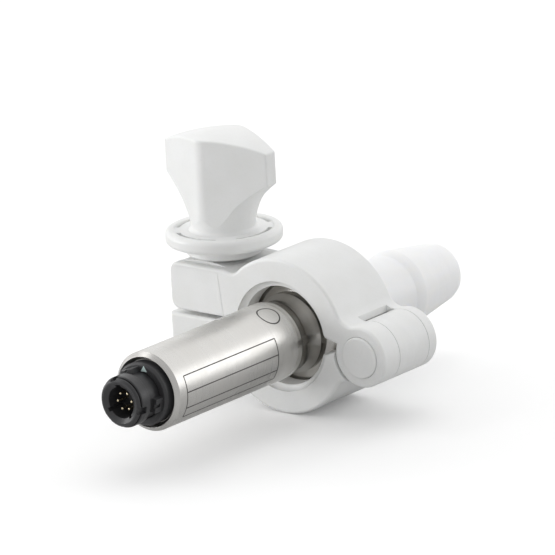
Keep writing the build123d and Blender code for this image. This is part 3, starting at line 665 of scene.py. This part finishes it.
def band_on_body(path, width):
    """Points and faces of a thin closed band along a path of (y, degrees)."""
    points, faces = [], []
    closed = path[0] == path[-1]
    if closed:
        path = path[:-1]
    count = len(path)
    for k, (y, degrees) in enumerate(path):
        before = path[k - 1] if closed or k else path[k]
        after = path[(k + 1) % count] if closed or k < count - 1 else path[k]
        along_y = after[0] - before[0]
        along_arc = math.radians(after[1] - before[1]) * BODY_R
        size = math.hypot(along_y, along_arc)
        side_y = -along_arc / size * width / 2
        side_deg = math.degrees(along_y / size * width / 2 / BODY_R)
        for sign in (1, -1):
            for r in (BODY_R - BAND_SINK, BODY_R + BAND_LIFT):
                points.append(on_body(y + sign * side_y, degrees + sign * side_deg, r))
    for k in range(count if closed else count - 1):
        a, b = 4 * k, 4 * ((k + 1) % count)
        for p, q in ((0, 1), (1, 3), (3, 2), (2, 0)):
            faces.append((a + p, a + q, b + q, b + p))
    if not closed:
        faces.append((0, 1, 3, 2))
        faces.append((4 * count - 4, 4 * count - 3, 4 * count - 1, 4 * count - 2))
    return points, faces


def join(shapes):
    """Several (points, faces) as one."""
    points, faces = [], []
    for more_points, more_faces in shapes:
        start = len(points)
        points += more_points
        faces += [tuple(start + k for k in face) for face in more_faces]
    return points, faces


# Lines round the bare label field and across it
LABEL_FRONT, LABEL_BACK = -48.9, -19.85
LABEL_TOP, LABEL_LOW = 26.6, -37.0
LABEL_RULES = (2.4, -21.4)
LABEL_LINE_W = 0.23
label_lines = []
for y in (LABEL_FRONT, LABEL_BACK):
    path = [(y, degrees) for degrees in steps(LABEL_LOW, LABEL_TOP, 24)]
    label_lines.append(band_on_body(path, LABEL_LINE_W))
for degrees in (LABEL_TOP, *LABEL_RULES, LABEL_LOW):
    path = [(y, degrees) for y in steps(LABEL_FRONT, LABEL_BACK, 8)]
    label_lines.append(band_on_body(path, LABEL_LINE_W))
make_piece("label_lines", *join(label_lines), "marking", "joint_base", "seal_rubber")

# Etched circle nearer the ferrule
CIRCLE_Y, CIRCLE_DEGREES, CIRCLE_R, CIRCLE_LINE_W = -16.95, 62.8, 2.45, 0.3
circle = []
for turn in steps(0.0, 2 * math.pi, 64)[:-1]:
    side = math.degrees(CIRCLE_R * math.sin(turn) / BODY_R)
    circle.append((CIRCLE_Y + CIRCLE_R * math.cos(turn), CIRCLE_DEGREES + side))
circle.append(circle[0])
etched = band_on_body(circle, CIRCLE_LINE_W)
make_piece("etched_circle", *etched, "marking", "joint_base", "seal_rubber")

# Pale key mark on the connector's flange
MARK_SINK, MARK_LIFT = 0.05, 0.02
triangle = [(1.15, 6.15), (0.3, 4.9), (1.95, 4.95)]
plate = [(x, FLANGE_Y + MARK_SINK, z) for x, z in triangle]
plate += [(x, FLANGE_Y - MARK_LIFT, z) for x, z in triangle]
plate_faces = [(0, 1, 2), (5, 4, 3), (0, 1, 4, 3), (1, 2, 5, 4), (2, 0, 3, 5)]
make_piece(
    "key_mark", plate, plate_faces, "triangle", "joint_base", "adapter_plastic", smooth=False
)


# Stage: white paper that looks bright and throws little light back up

FLOOR_REACH = 8.0
PAPER_WHITE = (0.97, 0.97, 0.97), (0.965, 0.965, 0.965)
PAPER_BOUNCE = (0.62, 0.62, 0.62, 1)
WHITE = (1, 1, 1, 1)

floor_z = LOWEST_Z * MM
corners = [
    (-FLOOR_REACH, -FLOOR_REACH, floor_z),
    (FLOOR_REACH, -FLOOR_REACH, floor_z),
    (FLOOR_REACH, FLOOR_REACH, floor_z),
    (-FLOOR_REACH, FLOOR_REACH, floor_z),
]
floor_mesh = bpy.data.meshes.new("floor")
floor_mesh.from_pydata(corners, [], [(0, 1, 2, 3)])
floor = linked("floor", floor_mesh)
paper = Shader("floor_paper")
mottle = paper.noise(paper.place, scale=0.05)
paper.colour(paper.blend(paper.between(mottle, 0.0, 1.0), *PAPER_WHITE))
paper.set(Roughness=0.8, Emission_Color=WHITE, Emission_Strength=0.1)
bounce = paper.add("ShaderNodeBsdfDiffuse")
bounce.inputs["Color"].default_value = PAPER_BOUNCE
seen = paper.add("ShaderNodeLightPath")
choose = paper.add("ShaderNodeMixShader")
paper.link(seen.outputs["Is Camera Ray"], choose.inputs["Fac"])
paper.link(bounce.outputs["BSDF"], choose.inputs[1])
paper.link(paper.bsdf.outputs["BSDF"], choose.inputs[2])
paper.link(choose.outputs["Shader"], paper.nodes["Material Output"].inputs["Surface"])
floor_mesh.materials.append(paper.material)


# Studio: a bright backdrop behind the object, a dimmer room on the near side, and soft lights

BACKDROP_TOWARDS = (-0.3, 0.93, 0.1)
BACKDROP_STRENGTH = 1.12
ROOM_STRENGTH = 0.6
FADE_FROM, FADE_TO = 0.0, 0.5
MIDDLE = (-0.01, 0, 0.01)

world = bpy.data.worlds.new("studio")
world.use_nodes = True
sky = world.node_tree
direction = sky.nodes.new("ShaderNodeTexCoord")
facing = sky.nodes.new("ShaderNodeVectorMath")
facing.operation = "DOT_PRODUCT"
facing.inputs[1].default_value = Vector(BACKDROP_TOWARDS).normalized()
sky.links.new(direction.outputs["Generated"], facing.inputs[0])
fade = sky.nodes.new("ShaderNodeMapRange")
fade.interpolation_type = "SMOOTHSTEP"
fade.inputs["From Min"].default_value = FADE_FROM
fade.inputs["From Max"].default_value = FADE_TO
fade.inputs["To Min"].default_value = ROOM_STRENGTH
fade.inputs["To Max"].default_value = BACKDROP_STRENGTH
sky.links.new(facing.outputs["Value"], fade.inputs["Value"])
sky.nodes["Background"].inputs["Color"].default_value = WHITE
sky.links.new(fade.outputs["Result"], sky.nodes["Background"].inputs["Strength"])
bpy.context.scene.world = world


def light(name, at, towards, size, power):
    """A soft rectangular light of size (width, height) in metres and power in watts."""
    lamp = bpy.data.lights.new(name, "AREA")
    lamp.shape = "RECTANGLE"
    lamp.size, lamp.size_y = size
    lamp.energy = power
    holder = linked(name, lamp)
    holder.location = at
    holder.rotation_euler = (Vector(at) - Vector(towards)).to_track_quat("Z", "Y").to_euler()


light("key", (-0.8, -0.5, 0.16), MIDDLE, size=(0.5, 0.4), power=3.7)
light("front_low", (-0.2, -0.95, 0.02), MIDDLE, size=(0.6, 0.3), power=0.9)
light("lip_card", (-0.62, -0.3, 0.72), (0, -0.05, 0), size=(0.3, 0.25), power=0.5)
light("top", (0.0, 0.1, 1.0), MIDDLE, size=(0.9, 0.9), power=1.0)
light("right_back", (0.75, 0.75, 0.3), MIDDLE, size=(0.5, 0.5), power=0.8)


# The camera, from a fit to the photograph

CAMERA_AT = (0.7481665923, -0.9167015503, 0.3583202106)
CAMERA_RIGHT = (0.7801462557, 0.6235143096, -0.0510071115)
CAMERA_UP = (-0.1380231164, 0.2510719966, 0.9580774874)
CAMERA_BACK = (0.6101814805, -0.7404004040, 0.2819322661)
CAMERA_LENS = 389.19
CAMERA_SENSOR = 36.0
CAMERA_CLIP = 0.01, 50.0

camera_data = bpy.data.cameras.new("camera")
camera_data.lens = CAMERA_LENS
camera_data.sensor_width = CAMERA_SENSOR
camera_data.clip_start, camera_data.clip_end = CAMERA_CLIP
camera = linked("camera", camera_data)
rotation = Matrix((CAMERA_RIGHT, CAMERA_UP, CAMERA_BACK)).transposed().to_4x4()
camera.matrix_world = Matrix.Translation(CAMERA_AT) @ rotation
bpy.context.scene.camera = camera
bpy.context.scene.view_settings.view_transform = "Standard"
